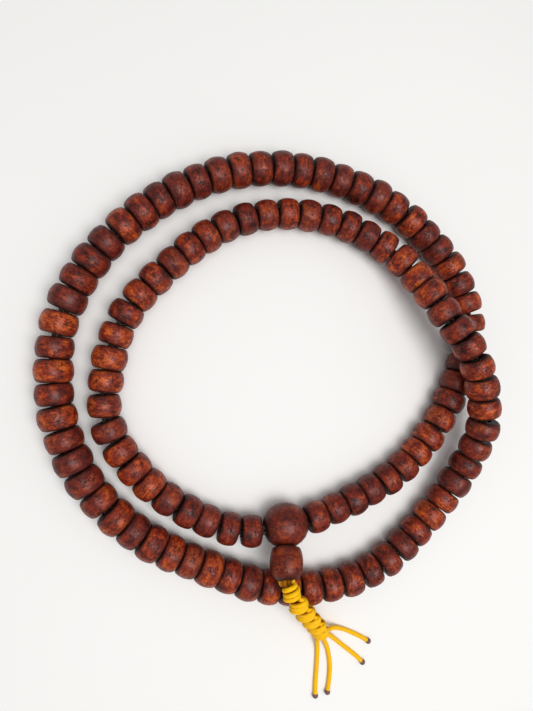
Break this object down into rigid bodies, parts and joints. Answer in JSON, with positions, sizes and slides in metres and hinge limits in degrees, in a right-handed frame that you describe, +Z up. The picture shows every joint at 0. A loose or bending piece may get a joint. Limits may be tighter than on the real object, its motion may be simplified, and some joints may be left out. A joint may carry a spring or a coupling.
{
  "type": "mala prayer beads",
  "caption": "Closed strand of dark seed beads laid in two turns, with a guru bead, a tower bead and a knotted cord pendant that ends in loose cord tips.",
  "frame": {"origin": "middle of the bottom of the beads and knots, on the surface that the strand lies on", "axes": "+X to the right of the pendant, +Y from the pendant towards the far side of the loop, +Z up from the surface"},
  "size_m": [0.112, 0.1368, 0.0178],
  "materials": {
    "seed": "satin, mottled red brown with dark speckles",
    "guru_seed": "satin, darker red brown with fine grain",
    "cord": "golden yellow braided nylon"
  },
  "bodies": {
    "link_1": {"strand_cord_1": "cord", "beads_002_004": "seed", "beads_101_103": "seed", "beads_105_108": "seed"},
    "link_2": {"strand_cord_2": "cord", "beads_005_007": "seed", "beads_009_012": "seed", "beads_014_016": "seed"},
    "link_3": {"strand_cord_3": "cord", "beads_017_020": "seed", "beads_022_026": "seed", "beads_028_031": "seed"},
    "link_4": {"strand_cord_4": "cord", "beads_032_035": "seed", "beads_037_040": "seed", "beads_042_045": "seed"},
    "link_5": {"strand_cord_5": "cord", "beads_046_049": "seed", "beads_051_055": "seed", "beads_057_060": "seed"},
    "link_6": {"strand_cord_6": "cord", "beads_061_063": "seed", "beads_065_068": "seed", "beads_070_073": "seed"},
    "link_7": {"strand_cord_7": "cord", "beads_074_077": "seed", "beads_079_083": "seed", "beads_085_088": "seed"},
    "link_8": {"strand_cord_8": "cord", "beads_089_091": "seed", "beads_093_096": "seed", "beads_098_100": "seed"},
    "bead_001": {"bead_001": "seed"},
    "bead_008": {"bead_008": "seed"},
    "bead_013": {"bead_013": "seed"},
    "bead_021": {"bead_021": "seed"},
    "bead_027": {"bead_027": "seed"},
    "bead_036": {"bead_036": "seed"},
    "bead_041": {"bead_041": "seed"},
    "bead_050": {"bead_050": "seed"},
    "bead_056": {"bead_056": "seed"},
    "bead_064": {"bead_064": "seed"},
    "bead_069": {"bead_069": "seed"},
    "bead_078": {"bead_078": "seed"},
    "bead_084": {"bead_084": "seed"},
    "bead_092": {"bead_092": "seed"},
    "bead_097": {"bead_097": "seed"},
    "bead_104": {"bead_104": "seed"},
    "pendant": {"guru_bead": "guru_seed", "pendant_cord": "cord", "knot_sinnet": "cord"},
    "tower": {"tower_bead": "guru_seed"},
    "cord_end_1": {"cord_end_1": "cord"},
    "cord_end_2": {"cord_end_2": "cord"},
    "cord_end_3": {"cord_end_3": "cord"},
    "cord_end_4": {"cord_end_4": "cord"}
  },
  "joints": [
    {"name": "loop_flex", "type": "hinge", "parent": "link_1", "child": "link_2", "pos_m": [-0.0243, -0.0246, 0.00394], "axis": [0, 0, 1], "range_deg": [-4, 4]},
    {"name": "loop_flex_2", "type": "hinge", "parent": "link_2", "child": "link_3", "pos_m": [-0.02744, 0.03021, 0.00393], "axis": [0, 0, 1], "range_deg": [-4, 4]},
    {"name": "loop_flex_3", "type": "hinge", "parent": "link_3", "child": "link_4", "pos_m": [0.03861, 0.02351, 0.0111], "axis": [0, 0, 1], "range_deg": [-4, 4]},
    {"name": "loop_flex_4", "type": "hinge", "parent": "link_4", "child": "link_5", "pos_m": [0.03068, -0.03959, 0.00428], "axis": [0, 0, 1], "range_deg": [-4, 4]},
    {"name": "loop_flex_8", "type": "hinge", "parent": "link_1", "child": "link_8", "pos_m": [0.04176, -0.00838, 0.00413], "axis": [0, 0, 1], "range_deg": [-4, 4]},
    {"name": "loop_flex_7", "type": "hinge", "parent": "link_8", "child": "link_7", "pos_m": [0.03278, 0.04658, 0.00427], "axis": [0, 0, 1], "range_deg": [-4, 4]},
    {"name": "loop_flex_6", "type": "hinge", "parent": "link_7", "child": "link_6", "pos_m": [-0.03853, 0.03798, 0.00427], "axis": [0, 0, 1], "range_deg": [-4, 4]},
    {"name": "pendant_lift", "type": "hinge", "parent": "link_1", "child": "pendant", "pos_m": [0.0014, -0.0305, 0.0054], "axis": [-0.986, -0.1648, 0.0263], "range_deg": [0, 75]},
    {"name": "tower_bead_turn", "type": "hinge", "parent": "pendant", "child": "tower", "pos_m": [0.00034, -0.03806, 0.01017], "axis": [-0.118, -0.8398, 0.5299], "continuous": true},
    {"name": "cord_end_1_swing", "type": "hinge", "parent": "pendant", "child": "cord_end_1", "pos_m": [0.0105, -0.0606, 0.0026], "axis": [0, 0, 1], "range_deg": [-20, 2]},
    {"name": "cord_end_2_swing", "type": "hinge", "parent": "pendant", "child": "cord_end_2", "pos_m": [0.0116, -0.0599, 0.0026], "axis": [0, 0, 1], "range_deg": [-2, 10]},
    {"name": "cord_end_3_swing", "type": "hinge", "parent": "pendant", "child": "cord_end_3", "pos_m": [0.0127, -0.0593, 0.0026], "axis": [0, 0, 1], "range_deg": [-8, 5]},
    {"name": "cord_end_4_swing", "type": "hinge", "parent": "pendant", "child": "cord_end_4", "pos_m": [0.0135, -0.0583, 0.0026], "axis": [0, 0, 1], "range_deg": [-6, 20]},
    {"name": "turn_bead_001", "type": "hinge", "parent": "link_1", "child": "bead_001", "pos_m": [-0.00695, -0.03151, 0.00481], "axis": [-0.9953, 0.0596, -0.0758], "continuous": true},
    {"name": "turn_bead_008", "type": "hinge", "parent": "link_2", "child": "bead_008", "pos_m": [-0.03721, -0.01139, 0.00398], "axis": [-0.538, 0.8429, 0], "continuous": true},
    {"name": "turn_bead_013", "type": "hinge", "parent": "link_2", "child": "bead_013", "pos_m": [-0.03821, 0.01516, 0.00399], "axis": [0.3252, 0.9457, 0], "continuous": true},
    {"name": "turn_bead_021", "type": "hinge", "parent": "link_3", "child": "bead_021", "pos_m": [-0.00817, 0.04325, 0.00395], "axis": [0.9503, 0.3114, 0], "continuous": true},
    {"name": "turn_bead_027", "type": "hinge", "parent": "link_3", "child": "bead_027", "pos_m": [0.02262, 0.04045, 0.0048], "axis": [0.8801, -0.4664, 0.0883], "continuous": true},
    {"name": "turn_bead_036", "type": "hinge", "parent": "link_4", "child": "bead_036", "pos_m": [0.04988, 0.00257, 0.01294], "axis": [0.2656, -0.9539, -0.1395], "continuous": true},
    {"name": "turn_bead_041", "type": "hinge", "parent": "link_4", "child": "bead_041", "pos_m": [0.04636, -0.02229, 0.00603], "axis": [-0.4982, -0.8413, -0.21], "continuous": true},
    {"name": "turn_bead_050", "type": "hinge", "parent": "link_5", "child": "bead_050", "pos_m": [0.00791, -0.04672, 0.00423], "axis": [-1, 0.0015, 0], "continuous": true},
    {"name": "turn_bead_056", "type": "hinge", "parent": "link_5", "child": "bead_056", "pos_m": [-0.02158, -0.0376, 0.00419], "axis": [-0.8992, 0.4376, 0], "continuous": true},
    {"name": "turn_bead_064", "type": "hinge", "parent": "link_6", "child": "bead_064", "pos_m": [-0.04938, -0.00829, 0.00436], "axis": [-0.3217, 0.9468, 0], "continuous": true},
    {"name": "turn_bead_069", "type": "hinge", "parent": "link_6", "child": "bead_069", "pos_m": [-0.05047, 0.01771, 0.00435], "axis": [0.2511, 0.968, 0], "continuous": true},
    {"name": "turn_bead_078", "type": "hinge", "parent": "link_7", "child": "bead_078", "pos_m": [-0.01968, 0.05133, 0.00419], "axis": [0.9112, 0.412, 0], "continuous": true},
    {"name": "turn_bead_084", "type": "hinge", "parent": "link_7", "child": "bead_084", "pos_m": [0.0108, 0.0552, 0.00429], "axis": [0.9852, -0.1716, 0], "continuous": true},
    {"name": "turn_bead_092", "type": "hinge", "parent": "link_8", "child": "bead_092", "pos_m": [0.04578, 0.03383, 0.00439], "axis": [0.583, -0.8124, 0], "continuous": true},
    {"name": "turn_bead_097", "type": "hinge", "parent": "link_8", "child": "bead_097", "pos_m": [0.04998, 0.00807, 0.00434], "axis": [-0.3773, -0.9261, 0], "continuous": true},
    {"name": "turn_bead_104", "type": "hinge", "parent": "link_1", "child": "bead_104", "pos_m": [0.02867, -0.02094, 0.00418], "axis": [-0.8563, -0.5164, 0.0127], "continuous": true}
  ],
  "couplings": [
    {"joint": "loop_flex_2", "follows": "loop_flex", "ratio": -1},
    {"joint": "loop_flex_3", "follows": "loop_flex", "ratio": 1},
    {"joint": "loop_flex_4", "follows": "loop_flex", "ratio": -1},
    {"joint": "loop_flex_8", "follows": "loop_flex", "ratio": 1},
    {"joint": "loop_flex_7", "follows": "loop_flex", "ratio": -1},
    {"joint": "loop_flex_6", "follows": "loop_flex", "ratio": 1}
  ]
}
